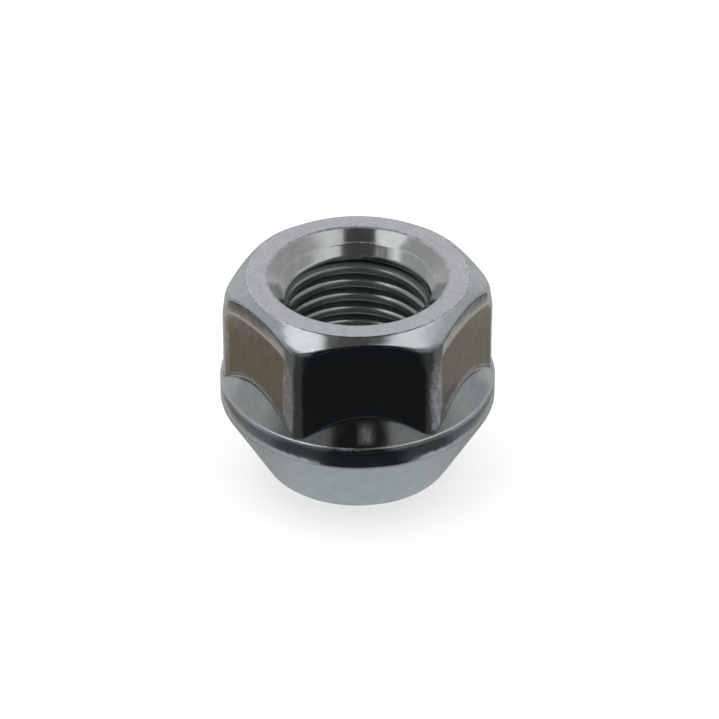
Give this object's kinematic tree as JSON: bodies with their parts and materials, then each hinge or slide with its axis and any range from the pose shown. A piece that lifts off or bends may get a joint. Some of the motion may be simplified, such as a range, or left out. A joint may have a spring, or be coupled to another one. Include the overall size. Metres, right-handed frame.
{
  "type": "lug nut",
  "caption": "Open lug nut with a hexagon head, round rim and cone seat, threaded right through, for clamping a road wheel onto a hub stud.",
  "frame": {"origin": "centre of the small end's flat face, on the thread's axis", "axes": "+Z along the thread's axis from the small end to the top face, one flat of the hexagon faces -Y and two corners lie on X"},
  "size_m": [0.0254, 0.0254, 0.0198],
  "materials": {
    "zinc_plated_steel": "bright zinc plate over forged steel, satin, scuffed at the corners"
  },
  "bodies": {
    "root": {"lug_nut": "zinc_plated_steel"}
  },
  "joints": []
}
